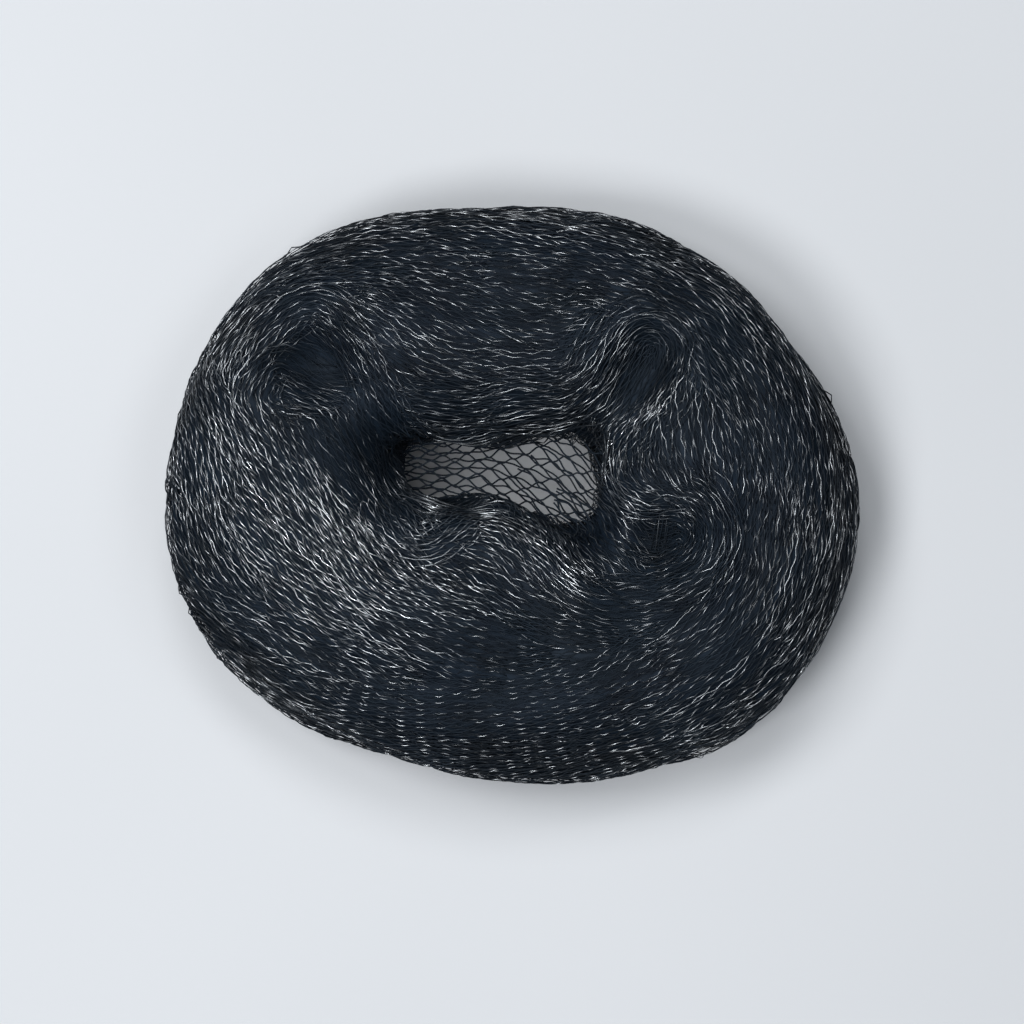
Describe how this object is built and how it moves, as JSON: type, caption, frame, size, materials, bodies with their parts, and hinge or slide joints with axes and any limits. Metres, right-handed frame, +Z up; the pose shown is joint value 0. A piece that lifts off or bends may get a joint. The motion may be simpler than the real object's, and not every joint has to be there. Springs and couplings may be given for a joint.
{
  "type": "roll of pond netting",
  "caption": "Fine black pond netting gathered into a loose rope and wound into a flat oval ring, with loose net across its open eye.",
  "frame": {"origin": "middle of the roll's bounding box in X and Y, on the surface that it rests on", "axes": "+X along the oval's length, right in the picture; +Y across it, up in the picture; +Z up, out of the roll's front"},
  "size_m": [0.2044, 0.1712, 0.0569],
  "materials": {
    "netting": "fine glossy black polyethylene twine, knitted into open mesh"
  },
  "bodies": {
    "root": {"net_roll": "netting"}
  },
  "joints": []
}
